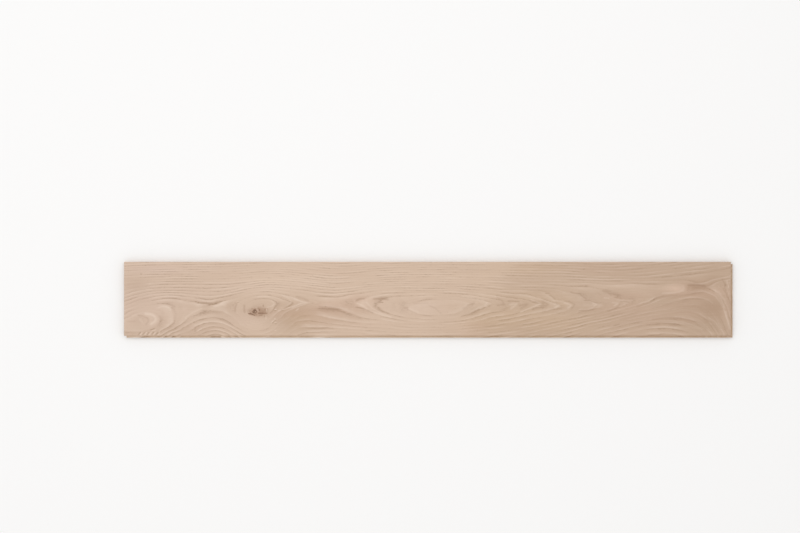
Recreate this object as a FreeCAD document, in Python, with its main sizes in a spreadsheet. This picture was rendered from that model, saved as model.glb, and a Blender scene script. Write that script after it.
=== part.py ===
import FreeCAD, Part
import math
import os

import Sketcher

# A tongue and groove oak floorboard, lying face up: X runs along it, Y across it and Z up.
# The origin is the middle of the underside, below the middle of the face.
# One tongue stands out of the long side at -Y and one out of the end at +X.
SIZES = {
    "face_length": 1880,  # visible length, joint to joint
    "face_width": 229,  # visible width, joint to joint
    "thickness": 19,
    "upper_lip": 6.5,  # oak above the groove, the part that wears
    "tongue_thickness": 6,
    "tongue_reach": 6,  # how far a tongue stands out past the face edge
    "tongue_rounding": 1.2,  # radius of the tongue's two nose corners
    "flank_clearance": 0.15,  # groove to tongue, above it and below it
    "nose_clearance": 0.8,  # tongue's nose to the bottom of the groove
    "mouth_easing": 0.5,  # broken corners at the mouth of the groove
    "lower_setback": 0.4,  # lower edges stand back, so that the faces close first
    "face_bevel": 1,  # micro-bevel along the four edges of the face
    "under_easing": 0.6,  # broken corners along the underside
}

# Heights above the underside, and the groove's depth, as formulas of the sheet.
TOP = "sizes.thickness"
GROOVE_ROOF = "sizes.thickness - sizes.upper_lip"
TONGUE_ROOF = f"{GROOVE_ROOF} - sizes.flank_clearance"
TONGUE_FOOT = f"{TONGUE_ROOF} - sizes.tongue_thickness"
GROOVE_FOOT = f"{TONGUE_FOOT} - sizes.flank_clearance"
GROOVE_DEPTH = "sizes.tongue_reach + sizes.nose_clearance"
# The cutters run this far past the stock.
OVERRUN = "sizes.tongue_reach"


def make_sheet(doc):
    sheet = doc.addObject("Spreadsheet::Sheet", "sizes")
    for row, (name, value) in enumerate(SIZES.items(), start=1):
        sheet.set(f"A{row}", name)
        sheet.set(f"B{row}", str(value))
        sheet.setAlias(f"B{row}", name)
    doc.recompute()


def new_sketch(body, name, plane):
    """A sketch on one of the body's own origin planes."""
    sketch = body.newObject("Sketcher::SketchObject", name)
    support = next(feature for feature in body.Origin.OriginFeatures if feature.Role == plane)
    sketch.AttachmentSupport = [(support, "")]
    sketch.MapMode = "FlatFace"
    return sketch


def nose_arc(level_end, upright_end):
    """A quarter circle from a level face to an upright one, with the arc's own end numbers."""
    centre = FreeCAD.Vector(level_end.x, upright_end.y, 0)
    circle = Part.Circle(centre, FreeCAD.Vector(0, 0, 1), abs(upright_end.x - level_end.x))
    first = math.atan2(level_end.y - centre.y, level_end.x - centre.x)
    last = math.atan2(upright_end.y - centre.y, upright_end.x - centre.x)
    if (last - first) % math.tau < math.pi:
        return Part.ArcOfCircle(circle, first, last), 1, 2
    return Part.ArcOfCircle(circle, last, first), 2, 1


def draw_outline(sketch, corners, arc_at=None):
    """A closed outline through the corners, each a pair of formulas, with an arc after corner arc_at."""
    points = [FreeCAD.Vector(*(float(sketch.evalExpression(f)) for f in corner), 0) for corner in corners]
    edges = []
    for number, point in enumerate(points):
        following = points[(number + 1) % len(points)]
        if number == arc_at:
            curve, start, end = nose_arc(point, following)
        else:
            curve, start, end = Part.LineSegment(point, following), 1, 2
        edges.append((sketch.addGeometry(curve, False), start, end))
    for number, (edge, start, end) in enumerate(edges):
        following, following_start, _ = edges[(number + 1) % len(edges)]
        sketch.addConstraint(Sketcher.Constraint("Coincident", edge, end, following, following_start))
        for kind, formula, value in zip(("DistanceX", "DistanceY"), corners[number], points[number]):
            index = sketch.addConstraint(Sketcher.Constraint(kind, edge, start, value))
            sketch.setExpression(f"Constraints[{index}]", formula)
    if arc_at is not None:
        radius = sketch.Geometry[edges[arc_at][0]].Radius
        index = sketch.addConstraint(Sketcher.Constraint("Radius", edges[arc_at][0], radius))
        sketch.setExpression(f"Constraints[{index}]", "sizes.tongue_rounding")


def outward(edge, distance):
    """A place measured out of a face edge; edge is its sign and the face size that it halves."""
    sign, face_size = edge
    return f"{sign}({face_size} / 2 + ({distance}))"


def cut_tongue(body, name, plane, edge):
    """Mills the stock above and below a tongue away, with the bevel and the eased lower corner."""
    sketch = new_sketch(body, f"{name}_outline", plane)
    nose_start = "sizes.tongue_reach - sizes.tongue_rounding"
    past_nose = f"sizes.tongue_reach + {OVERRUN}"
    above = [
        (f"{nose_start}", TONGUE_ROOF),
        ("sizes.tongue_reach", f"{TONGUE_ROOF} - sizes.tongue_rounding"),
        (past_nose, f"{TONGUE_ROOF} - sizes.tongue_rounding"),
        (past_nose, f"{TOP} + {OVERRUN}"),
        ("-sizes.face_bevel", f"{TOP} + {OVERRUN}"),
        ("-sizes.face_bevel", TOP),
        ("0", f"{TOP} - sizes.face_bevel"),
        ("0", TONGUE_ROOF),
    ]
    eased = "-sizes.lower_setback - sizes.under_easing"
    below = [
        (f"{nose_start}", TONGUE_FOOT),
        ("sizes.tongue_reach", f"{TONGUE_FOOT} + sizes.tongue_rounding"),
        (past_nose, f"{TONGUE_FOOT} + sizes.tongue_rounding"),
        (past_nose, f"-{OVERRUN}"),
        (eased, f"-{OVERRUN}"),
        (eased, "0"),
        ("-sizes.lower_setback", "sizes.under_easing"),
        ("-sizes.lower_setback", TONGUE_FOOT),
    ]
    for corners in (above, below):
        draw_outline(sketch, [(outward(edge, across), up) for across, up in corners], arc_at=0)
    return mill(body, name, sketch)


def cut_groove(body, name, plane, edge):
    """Mills a groove, the bevel above it and the set-back lower lip below it."""
    sketch = new_sketch(body, f"{name}_outline", plane)
    bevel = [
        ("-sizes.face_bevel", TOP),
        ("0", f"{TOP} - sizes.face_bevel"),
        (OVERRUN, f"{TOP} - sizes.face_bevel"),
        (OVERRUN, f"{TOP} + {OVERRUN}"),
        ("-sizes.face_bevel", f"{TOP} + {OVERRUN}"),
    ]
    eased = "-sizes.lower_setback - sizes.under_easing"
    groove = [
        (OVERRUN, f"{GROOVE_ROOF} + sizes.mouth_easing"),
        ("0", f"{GROOVE_ROOF} + sizes.mouth_easing"),
        ("-sizes.mouth_easing", GROOVE_ROOF),
        (f"-({GROOVE_DEPTH})", GROOVE_ROOF),
        (f"-({GROOVE_DEPTH})", GROOVE_FOOT),
        ("-sizes.lower_setback - sizes.mouth_easing", GROOVE_FOOT),
        ("-sizes.lower_setback", f"{GROOVE_FOOT} - sizes.mouth_easing"),
        ("-sizes.lower_setback", "sizes.under_easing"),
        (eased, "0"),
        (eased, f"-{OVERRUN}"),
        (OVERRUN, f"-{OVERRUN}"),
    ]
    for corners in (bevel, groove):
        draw_outline(sketch, [(outward(edge, across), up) for across, up in corners])
    return mill(body, name, sketch)


def mill(body, name, sketch):
    """Runs a cutter of the sketched outline right along the board."""
    doc = body.Document
    doc.recompute()
    before = body.Shape.Volume
    cut = body.newObject("PartDesign::Pocket", name)
    cut.Profile = sketch
    cut.Type = "ThroughAll"
    cut.SideType = "Symmetric"
    doc.recompute()
    if not body.Shape.Volume < before:
        raise RuntimeError(f"{name} cuts nothing")
    return cut


def make_board(doc):
    """One board of solid oak: the sawn blank, then the four moulded edges."""
    body = doc.addObject("PartDesign::Body", "floorboard")
    body.Label = "floorboard"
    blank = new_sketch(body, "blank_outline", "XY_Plane")
    left = "-sizes.face_length / 2"
    right = "sizes.face_length / 2 + sizes.tongue_reach"
    near = "-sizes.face_width / 2 - sizes.tongue_reach"
    far = "sizes.face_width / 2"
    draw_outline(blank, [(left, near), (right, near), (right, far), (left, far)])
    pad = body.newObject("PartDesign::Pad", "blank")
    pad.Profile = blank
    pad.setExpression("Length", "sizes.thickness")
    cut_tongue(body, "side_tongue", "YZ_Plane", ("-", "sizes.face_width"))
    cut_groove(body, "side_groove", "YZ_Plane", ("", "sizes.face_width"))
    cut_tongue(body, "end_tongue", "XZ_Plane", ("", "sizes.face_length"))
    body.Tip = cut_groove(body, "end_groove", "XZ_Plane", ("-", "sizes.face_length"))
    return body


def write_step(doc, node):
    """Checks the whole document, then writes the node's solid."""
    doc.recompute()
    failed = [o.Name for o in doc.Objects if {"Invalid", "Error"} & set(o.State)]
    if failed:
        raise RuntimeError(f"not built: {failed}")
    shape = node.Shape
    if shape.isNull() or not shape.isValid() or len(shape.Solids) != 1:
        raise RuntimeError(f"{node.Label} isn't one valid solid")
    os.makedirs("parts", exist_ok=True)
    shape.exportStep(f"parts/{node.Label}.step")
    box = shape.BoundBox
    print(f"{node.Label}: {box.XLength:.1f} x {box.YLength:.1f} x {box.ZLength:.1f} mm, "
          f"{shape.Volume / 1e6:.3f} litres, {len(shape.Faces)} faces")


document = FreeCAD.newDocument("wide_floorboard")
make_sheet(document)
write_step(document, make_board(document))
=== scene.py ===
import math
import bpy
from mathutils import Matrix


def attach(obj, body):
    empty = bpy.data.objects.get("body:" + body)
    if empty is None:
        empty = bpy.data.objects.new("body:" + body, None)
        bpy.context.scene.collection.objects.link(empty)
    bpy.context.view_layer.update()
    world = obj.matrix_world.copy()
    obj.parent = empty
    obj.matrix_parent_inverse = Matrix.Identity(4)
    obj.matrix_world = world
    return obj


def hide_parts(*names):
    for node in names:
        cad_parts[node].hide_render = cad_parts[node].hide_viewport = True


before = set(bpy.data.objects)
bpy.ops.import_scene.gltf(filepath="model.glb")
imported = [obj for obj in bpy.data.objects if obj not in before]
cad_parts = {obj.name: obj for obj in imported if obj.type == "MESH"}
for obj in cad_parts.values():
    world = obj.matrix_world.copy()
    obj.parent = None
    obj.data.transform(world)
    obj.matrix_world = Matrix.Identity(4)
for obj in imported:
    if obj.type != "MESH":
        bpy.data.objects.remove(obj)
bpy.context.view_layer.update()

from types import SimpleNamespace

import bmesh
import bpy
import numpy as np
from mathutils import Vector

# A wide oak floorboard, lying face up. Blender's metres come last: below, lengths are in mm.
mm = 0.001

# Where the board's face lies in the photograph, in pixels. Grain, tones and marks are placed in them.
photo = dict(width=800, height=533, left=124.0, right=731.0, top=261.8, bottom=335.8)

plank = dict(
    name="oak_plank",
    cell=(5.8, 1.7),  # face mesh, along and across the grain
    edgeCell=(20.0, 6.0),  # mesh of the sides and the underside
    fineCell=3.6,  # along the grain, near the marks
    knotCell=(1.0, 0.8),  # and over the knot
    crown=1.25,  # depth of the part that gets the fine mesh, in bevel widths
    rounding=[(1.3, 0.0), (0.95, 0.08), (0.08, 0.95)],  # worn bevel: in from the edge, down, in bevels
    edgeHeight=3,  # this far down from the face there are only its own edges, no tongues
    jointDepth=7,  # and this far in from an end lies the end groove
    sharpAngle=24,  # degrees; corners above it stay crisp
    seed=7,
)


# Growth rings as they show on the face: a ring number, then points of its line. Rings count outwards
# from the heart, which lies below the face, and a line is the start of that year's early wood.
growthRings = [
    # left heart
    (0.5, [(134, 322)]),
    (1, [(126, 318.4), (133, 314.8), (142, 311.9), (150, 312.2), (156.6, 315.6), (158.4, 320),
         (155.5, 324.5), (147, 329.5), (136, 331)]),
    (2, [(126, 315), (140, 309), (156, 304.8), (166, 304.6), (171.6, 308), (173.6, 313), (174, 319),
         (169, 325.5), (158, 333)]),
    (2.55, [(183, 305.6), (182.5, 311)]),
    # round the knot
    (0.2, [(258, 310.5)]),
    (1, [(244, 309), (248, 303.4), (256, 299.8), (265, 298.8), (272, 300.4), (275.2, 304), (272, 309.4),
         (267, 315), (258, 318), (249, 316)]),
    (2, [(235, 308), (240, 302), (248, 297.8), (257, 296), (266, 295.6), (276, 297.6), (284, 300.2),
         (291, 302.8), (286, 307), (273, 317), (266, 322), (257, 323.5), (247, 321), (239, 315)]),
    # right heart
    (0.4, [(438, 308)]),
    (1, [(406.5, 308.8), (411, 305.8), (426, 302), (445, 300), (460, 300.8), (470, 303), (471, 305),
         (463, 309.6), (450, 314), (430, 315), (413, 312.4)]),
    (2, [(379, 303.5), (385, 299.5), (395, 297), (430, 295.6), (465, 298), (490, 302.5), (478, 309),
         (462, 316), (440, 318.8), (407, 317.5), (390, 313), (381, 309)]),
    # rings that pass above and below the knot
    (3, [(126, 309), (140, 304), (158, 300), (168, 299), (180, 300.5), (196, 302.5), (206, 305.7),
         (217, 304), (224, 301), (237, 298), (252, 293.5), (268, 292.3), (286, 295.5), (303, 300.5),
         (310, 303.2), (300, 306.5), (284, 314), (277, 320), (270, 325.5), (254, 329.6), (240, 325),
         (233.5, 318), (227, 314.3), (219, 311), (210, 309.2), (203.6, 309.4), (199.5, 311.8),
         (195.5, 314.6), (189.5, 316.4), (186, 320), (180, 324.8), (173, 329.4), (164, 333.4)]),
    (3, [(358, 303.8), (367, 298), (385, 293.9), (430, 293.4), (465, 295), (490, 299), (507, 305),
         (494, 311.3), (475, 317), (455, 321), (425, 321.7), (400, 319.5), (380, 315), (366, 310.5)]),
    (4, [(126, 305.6), (148, 298.6), (168, 295.7), (182, 296.4), (194, 298.2), (205, 300.4), (213, 300),
         (222, 298), (235, 294.8), (260, 289.9), (285, 291.8), (308, 295.5), (330, 297.8), (350, 295.3),
         (375, 291.8), (430, 291.1), (470, 292.5), (500, 296.2), (518, 299.2), (533, 302), (541.6, 304.2),
         (534, 307.4), (521, 311.6), (508, 314.8), (475, 321.5), (445, 324.2), (405, 323.3), (380, 319.5),
         (358, 315.8), (343, 310.3), (326, 307.3), (310, 308), (294, 314), (287, 319.5), (272, 331),
         (252, 333.8), (236, 326.5), (224, 318.8), (207, 317.2), (198, 319.4), (190, 323.4), (182, 328),
         (173, 332)]),
    (5, [(126, 301.7), (138, 297.6), (150, 294.6), (165, 293.4), (180, 293.4), (196, 294.8), (210, 295.8),
         (222, 294.8), (232, 292.8), (242, 290.8), (332, 294), (550, 302.8), (560, 306), (552, 309.4),
         (540, 312.2), (525, 315), (500, 319.7), (475, 324.3), (445, 326.6), (405, 326.3), (365, 323),
         (340, 320.3), (320, 316.5), (300, 315.6), (287, 323), (280, 330), (230, 326.5), (217, 322.6),
         (202, 324.3), (190, 331)]),
    (6, [(126, 298.2), (138, 294.6), (150, 291.9), (165, 291), (180, 291), (195, 291.7), (208, 292.4),
         (220, 291.8), (232, 290.2), (245, 287.6), (262, 285.5), (300, 287), (326, 290.3), (340, 290.6),
         (362, 287.8), (400, 286.3), (460, 287), (505, 290), (536, 290.6), (545.4, 292.2), (550.4, 295.4),
         (554, 299.6), (566, 301.8), (574, 305.5), (560, 312.5), (535, 318), (505, 323.3), (475, 327),
         (435, 329.2), (385, 327.8), (342, 324.8), (315, 320.6), (303, 320.4), (295, 321.8), (284, 331),
         (203, 328.3), (217, 326.4), (230, 330.8)]),
    # outer rings, nearly straight along the upper and lower parts
    (7, [(126, 294.4), (134, 291.8), (148, 289.3), (160, 288.4), (190, 288.1), (208, 288.9), (220, 288.4),
         (234, 287.1), (248, 285.2), (557, 289.8), (573, 293), (583, 297), (587, 300), (597, 302.8),
         (600.5, 304.6), (592, 308.8), (581, 311.6), (558, 317.2), (528, 323.6), (495, 328.5),
         (312, 327.4), (217, 330)]),
    (8, [(126, 290.6), (140, 287.4), (152, 285.7), (165, 285), (190, 284.9), (210, 285.2), (222, 285),
         (236, 284), (250, 282.3), (262, 281), (285, 281.3), (315, 283.8), (342, 285.5), (372, 282.6),
         (400, 281.9), (470, 282.6), (525, 285.2), (570, 287), (601, 290.3), (606, 292), (612, 296),
         (630, 302.2), (622, 306), (603, 312), (575, 317.8), (545, 324), (514, 329.3), (475, 333.4),
         (345, 331.8), (305, 332.3)]),
    (8.55, [(640, 290), (660, 289), (640, 296), (630, 295)]),
    (9, [(126, 286), (150, 283), (170, 282.2), (215, 282.1), (235, 281.5), (250, 279.7), (590, 283),
         (634, 283.8), (664, 284), (677, 283.2), (683.4, 284.4), (685.6, 288), (684, 291.8), (676, 293.7),
         (664, 294.8), (656.5, 297.4), (649, 301.8), (640, 304.5), (614, 311.7), (588, 318), (555, 324.8),
         (524, 330.8)]),
    (10, [(126, 282), (140, 280.9), (155, 280), (175, 279.5), (215, 279.5), (228, 279.4), (240, 278.8),
          (252, 277.5), (265, 276.3), (280, 276.4), (292, 277.4), (305, 278.8), (320, 280.6),
          (338, 281.6), (372, 278.9), (430, 277.4), (500, 278.3), (560, 279.9), (590, 280.9),
          (630, 281.2), (672, 281.3), (696, 283.2), (706, 281.8), (724, 277), (731, 275)]),
    (10, [(731, 333), (729, 327), (727.2, 321), (725.3, 315), (723.2, 309), (720.2, 303), (715.8, 297),
          (705, 292.4), (696, 292.8), (682, 295.4), (666, 298.2), (655, 302.2), (648, 305), (636, 308.6),
          (617, 314), (590, 320), (558, 327.2), (543, 330.5)]),
    (11, [(727.8, 333), (725.5, 327), (723, 321), (720.4, 315), (717, 309), (712, 303), (703, 298.6),
          (692, 297.8), (676, 301.4), (658, 306.8), (632, 313), (602, 320.5), (570, 328)]),
    (11, [(500, 275.8), (560, 277.1), (600, 278.9), (640, 279), (660, 278), (680, 276), (700, 273.8),
          (715, 271), (731, 268)]),
    (12, [(126, 276.2), (150, 275), (180, 274.6), (215, 274.4), (240, 273.9), (265, 272), (290, 272.6),
          (318, 275.2), (338, 276.6), (352, 275.8), (375, 273.8), (430, 272.6), (500, 273.2),
          (560, 274.2), (600, 276), (632, 276.4), (650, 275.4), (668, 273.4), (690, 270.9), (705, 269.4),
          (718, 267.2), (731, 264.4)]),
    (13, [(560, 271.4), (618, 273.4), (640, 272.8), (655, 271.4), (668, 269.9), (682, 268.2),
          (696, 266.2), (712, 264)]),
    (12, [(722.8, 333), (719.8, 327), (716.6, 321), (712.4, 315), (705.4, 309), (692, 305.2),
          (668, 308.8), (640, 314.3), (606, 322.8), (575, 330.5)]),
    (14, [(126, 271.2), (160, 270), (205, 269.9), (235, 269.3), (265, 267.7), (338, 271.6), (430, 267.8),
          (500, 268.2), (560, 268.8), (600, 270.4), (640, 269.4), (660, 267.2), (680, 265),
          (700, 262.8)]),
    (13, [(716.2, 333), (712.4, 327), (707.6, 321), (700.4, 315), (690, 312.2)]),
    (14, [(709.4, 333), (703, 327), (692, 321), (678, 317.8), (656, 319.2), (630, 323.3), (601, 330)]),
    (16, [(126, 266.4), (160, 265.2), (205, 265), (265, 263.3), (338, 266.8), (430, 263), (560, 263.4),
          (600, 264.8), (640, 263.6), (660, 262)]),
    (16, [(697, 334.3), (676, 329.1), (652, 328.2), (628, 333)]),
    (8.4, [(217, 335.5)]),
    # the board's right end, past the small dark swirl
    (8, [(723.6, 283), (724.6, 288.5), (727.2, 295), (731, 302)]),
    (9, [(731, 278.5), (722, 280.5), (708, 287.5), (715, 291.4), (720.6, 297), (724.2, 303), (726.8, 309),
         (729, 315), (731, 321)]),
]

rings = dict(
    stretch=3,  # a ring bends this much more slowly along the board than across it
    slack=0.02,  # how freely the field may miss a point
    spacing=3,  # one ring in the wood, mm
    heartDepth=45,  # of the pith below the face
    heartRow=309,  # and its height in the photograph
)

# Soft zones of colour: amount, centre and half size in the photograph. Plus is browner, minus paler.
toneZones = [
    (0.75, 697, 287, 11, 5), (0.3, 700, 305, 34, 10), (0.28, 712, 314, 14, 14), (0.22, 690, 325, 30, 9),
    (-0.75, 674, 288.6, 11, 3.4), (-0.32, 615, 287, 46, 3.4), (-0.34, 717, 288, 6, 8),
    (-0.28, 725, 312, 3, 12), (0.2, 505, 306, 8, 5), (0.18, 527, 305, 8, 4), (0.16, 605, 291, 8, 3),
    (0.16, 540, 291, 10, 3), (0.5, 331, 309.5, 17, 4), (0.44, 300, 319, 34, 17), (0.34, 260, 311, 12, 7),
    (0.2, 284, 322, 14, 10), (0.2, 354, 312, 22, 9), (0.3, 381, 298, 7, 2.5), (0.18, 358, 297, 5, 3),
    (0.16, 215, 305, 24, 7), (0.22, 210, 325, 28, 9), (0.1, 180, 283, 50, 5), (-0.2, 365, 304, 10, 3),
    (-0.15, 425, 308, 16, 5), (-0.18, 150, 312, 26, 12), (-0.2, 252, 324, 16, 6),
    (-0.34, 285, 281, 46, 8), (-0.2, 262, 291, 24, 4), (-0.12, 400, 285, 60, 10),
    (-0.22, 165, 266, 60, 4), (0.08, 500, 268, 60, 4), (0.1, 620, 271, 60, 6), (0.24, 134, 288, 10, 8),
    (0.22, 160, 332, 40, 5), (0.24, 476, 314, 14, 10), (0.14, 600, 322, 60, 11), (0.24, 716, 281, 12, 5),
    (0.1, 545, 300, 24, 14), (-0.12, 300, 270, 70, 9), (-0.1, 160, 268, 50, 6), (-0.07, 225, 289, 40, 6),
    (0.16, 716, 286, 9, 7), (0.22, 297, 312, 16, 12), (0.1, 222, 313, 16, 7), (0.14, 178, 330, 44, 5),
    (0.16, 137, 320, 8, 8), (0.13, 505, 323, 44, 11), (-0.16, 643, 295, 14, 8), (-0.1, 660, 330, 50, 5),
    (0.14, 288, 318, 16, 14), (0.12, 186, 331, 40, 5), (0.14, 137, 318, 8, 8), (0.2, 136, 284, 10, 8),
    (0.16, 716, 284, 9, 7), (0.12, 545, 331, 34, 5), (-0.1, 163, 299, 12, 4), (0.08, 222, 309, 10, 7),
    (0.18, 296, 309, 20, 6), (0.14, 307, 329, 12, 5), (0.12, 331, 319, 14, 5), (0.1, 475, 309, 10, 6),
    (-0.12, 283, 269, 14, 5), (-0.12, 691, 329, 12, 5), (0.12, 524, 326, 56, 10), (0.1, 312, 322, 28, 12),
    (0.1, 619, 312, 50, 8), (0.08, 139, 300, 12, 26), (-0.1, 406, 308, 12, 6),
]
# The same for redder, plus, and yellower, minus, wood.
hueZones = [
    (0.9, 325, 314, 60, 16), (0.7, 334, 307, 20, 4), (0.5, 470, 320, 20, 14), (0.8, 360, 298, 24, 8),
    (0.4, 205, 326, 30, 8), (-0.5, 270, 278, 26, 8), (-0.4, 410, 290, 50, 12), (-0.5, 565, 304, 10, 6),
    (-0.4, 660, 300, 14, 6), (-0.5, 150, 266, 40, 5), (0.4, 700, 290, 30, 10), (0.3, 600, 310, 60, 12),
    (0.5, 130, 312, 8, 20), (-1.3, 535, 308, 60, 40), (0.6, 674, 288, 12, 5), (-0.5, 451, 308, 14, 6),
    (-0.3, 170, 268, 50, 6), (-0.5, 690, 268, 56, 8), (-0.5, 667, 284, 16, 8), (-0.6, 700, 329, 30, 7),
]

# Where the ring lines stand out: how much more, centre and half size.
boldZones = [
    (1.1, 217, 303.6, 22, 3.4), (0.32, 172, 293, 46, 8), (0.4, 210, 313, 22, 4), (0.45, 206, 325, 34, 7),
    (0.5, 330, 292, 22, 4), (0.4, 280, 287, 12, 4), (0.4, 300, 279, 46, 3), (0.3, 338, 309, 26, 4),
    (0.3, 478, 311, 16, 7), (-0.1, 590, 300, 18, 8), (-0.1, 616, 304, 14, 6), (0.4, 570, 326, 60, 8),
    (0.3, 665, 295, 26, 4), (0.4, 672, 321, 44, 5), (0.3, 643, 330, 14, 5), (0.3, 600, 283, 40, 3),
    (-0.15, 545, 306, 30, 10), (-0.2, 505, 306, 16, 8), (-0.4, 718, 302, 10, 16),
    (-1.1, 256, 322, 28, 10), (-0.45, 430, 308, 36, 8), (-0.4, 290, 267, 60, 6), (-0.7, 148, 316, 24, 12),
    (-1, 243, 306, 14, 10), (-0.6, 436, 329, 70, 8), (-0.5, 150, 307, 12, 3), (-0.75, 688, 307, 36, 7),
    (-0.4, 300, 312, 14, 10), (0.1, 180, 274, 60, 8), (0.7, 620, 272, 90, 8), (-0.6, 268, 301, 9, 5),
    (-0.4, 706, 316, 16, 10), (-0.3, 660, 309, 30, 5), (-0.5, 174, 313, 6, 10), (-0.55, 380, 305, 9, 7),
    (-0.3, 468, 303, 8, 5), (-0.8, 723, 284, 6, 5), (-0.5, 631, 302, 6, 4), (-0.5, 138, 329, 16, 4),
    (-0.4, 448, 300, 18, 2.5), (-0.5, 303, 302, 9, 4), (0.2, 325, 322, 30, 8), (0.15, 360, 272, 90, 8),
    (0.2, 672, 310, 40, 16),
]
# Where their edge is torn rather than smooth.
tornZones = [
    (0.55, 590, 300, 34, 10), (0.5, 545, 305, 26, 10), (0.4, 624, 302, 14, 6), (0.4, 490, 306, 30, 9),
    (0.3, 200, 304, 20, 4), (0.3, 366, 303, 20, 8), (0.2, 660, 300, 30, 8), (0.3, 200, 326, 14, 5),
    (-0.25, 718, 312, 16, 24), (-0.18, 160, 315, 22, 12), (-0.2, 255, 310, 26, 16),
]
# Greyer, pinker wood, plus, and warmer wood, minus.
coolZones = [
    (0.9, 140, 305, 70, 30), (0.4, 250, 320, 30, 10), (0.4, 430, 306, 40, 10), (0.4, 195, 268, 60, 6),
    (0.9, 150, 268, 30, 7), (0.3, 235, 285, 40, 8), (-0.45, 492, 320, 34, 14), (-0.3, 565, 322, 36, 12),
    (-0.3, 530, 268, 30, 8), (-0.3, 296, 318, 24, 12),
]

knot = dict(
    centre=(257.4, 311.6),
    size=(30, 15),  # half of it, along and across the board, mm
    columns=(247, 270),  # where the mesh is finest
    rows=(317.5, 305),
    parting=(48, 20),  # fibres part this far round it, mm,
    push=0.72,  # by this share of their way from its middle
)

# Marks of the knot, then of the rest: amount (minus is lighter), half width, and a stroke's points.
knotMarks = [
    # brown haze
    (0.24, 3.8, [(250.5, 312), (257, 311.2), (265.5, 312.6)]),
    (0.16, 3, [(255, 306.8), (263, 308), (266, 314), (258, 316)]),
    (0.12, 3, [(243, 310.4), (248, 310)]),
    (0.1, 2.2, [(257, 305), (261, 306)]),
    # the uneven dark core, and a dark dot beside it
    (1, 0.95, [(253.5, 312.7), (254.2, 311.8), (254.6, 310.8), (255.4, 310.3)]),
    (0.94, 0.8, [(255.4, 310.3), (256.5, 311.3), (256, 312.8), (254.6, 313)]),
    (0.84, 0.85, [(253.2, 311.6), (253.9, 310), (255.2, 309.5)]),
    (0.66, 0.9, [(252.3, 311.6), (252.8, 313), (254.8, 313.6)]),
    (0.62, 0.7, [(251.9, 308.8), (252.9, 308.4)]),
    (0.74, 0.85, [(259.5, 309.5), (259.6, 310.6)]),
    (0.38, 0.8, [(257.8, 308.4), (259, 308.6)]),
    (0.42, 0.8, [(256.4, 313.8), (256.8, 315), (255.6, 314.8)]),
    # splits to both sides
    (0.84, 0.8, [(248.7, 313.5), (250.6, 313.5), (252.6, 314.4), (254.6, 315.2)]),
    (0.66, 1.1, [(249.6, 313.8), (252.2, 314.2)]),
    (0.4, 0.8, [(250.6, 312.5), (251.8, 312.4)]),
    (0.74, 0.9, [(258.6, 313.3), (261, 313.5), (263.4, 313.4)]),
    (0.6, 0.9, [(263.4, 313.4), (267, 313.1)]),
    (0.56, 1.3, [(259.4, 312.8), (262.6, 313)]),
    (0.46, 0.8, [(259.4, 315.4), (262, 315.2)]),
    (0.42, 0.8, [(263.2, 305.2), (263.3, 306.3)]),
    (0.38, 0.9, [(265.2, 308.7), (265.1, 310.2)]),
    (0.26, 0.8, [(267.6, 308.6), (267.5, 309.8)]),
    (0.34, 0.8, [(264.4, 315.5), (264.3, 316.6)]),
    (0.3, 1.4, [(236.6, 304.4), (235.2, 308), (235.2, 311)]),
    (0.3, 1.4, [(244.4, 305.6), (244.2, 308.6), (244.8, 312)]),
    (-0.3, 0.7, [(252, 309.8), (252.8, 308.2), (254.6, 307.4), (256.8, 307.8)]),
    (-0.24, 0.7, [(248.3, 312), (248.9, 312.3)]),
    (-0.34, 0.5, [(251.4, 312.3), (252.8, 313.4), (255, 314.2)]),
    (-0.5, 0.8, [(256.9, 309.2), (257.7, 310.6), (258.4, 311.6)]),
    (-0.26, 0.6, [(256.6, 312.8), (257.2, 314.4)]),
    (-0.26, 0.7, [(252.6, 309.4), (250.8, 311.4)]),
    (-0.3, 0.7, [(255.4, 311.6), (255.6, 311.8)]),
    (-0.46, 0.7, [(266.6, 309.6), (266.8, 312)]),
    (-0.28, 0.8, [(266, 316.8), (266.1, 319)]),
    (-0.52, 0.6, [(275, 318.6), (275.4, 319.6)]),
    (0.44, 0.6, [(275.8, 320.2), (274, 321.6), (272.2, 323)]),
    (-0.48, 0.6, [(273.4, 320.6), (271.6, 322.4)]),
    (-0.5, 0.6, [(275, 322.2), (275.8, 322.6)]),
    (0.42, 0.6, [(275.2, 323.8), (276.4, 323.6)]),
    (-0.42, 0.6, [(274.6, 309.4), (276, 309.5)]),
    (0.38, 0.6, [(274.6, 310.7), (276, 310.6)]),
    (-0.42, 0.6, [(282.4, 309.5), (283.8, 309.2)]),
    (0.38, 0.6, [(282.2, 310.5), (283.8, 310.3)]),
    (0.36, 0.6, [(288, 306.2), (289.8, 305.9)]),
    (-0.38, 0.6, [(288.2, 307.4), (290, 307.3)]),
    (-0.4, 0.6, [(296.2, 310.6), (298.6, 308.6)]),
    (-0.3, 0.6, [(278, 311), (284, 309.6), (290, 307.2), (299.4, 303.6)]),
    (-0.3, 0.5, [(237.4, 301.4), (238.6, 301.3)]),
    (0.28, 0.5, [(237.4, 302.5), (238.8, 302.4)]),
    (-0.32, 0.5, [(275, 330.4), (276, 330.4)]),
]
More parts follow.
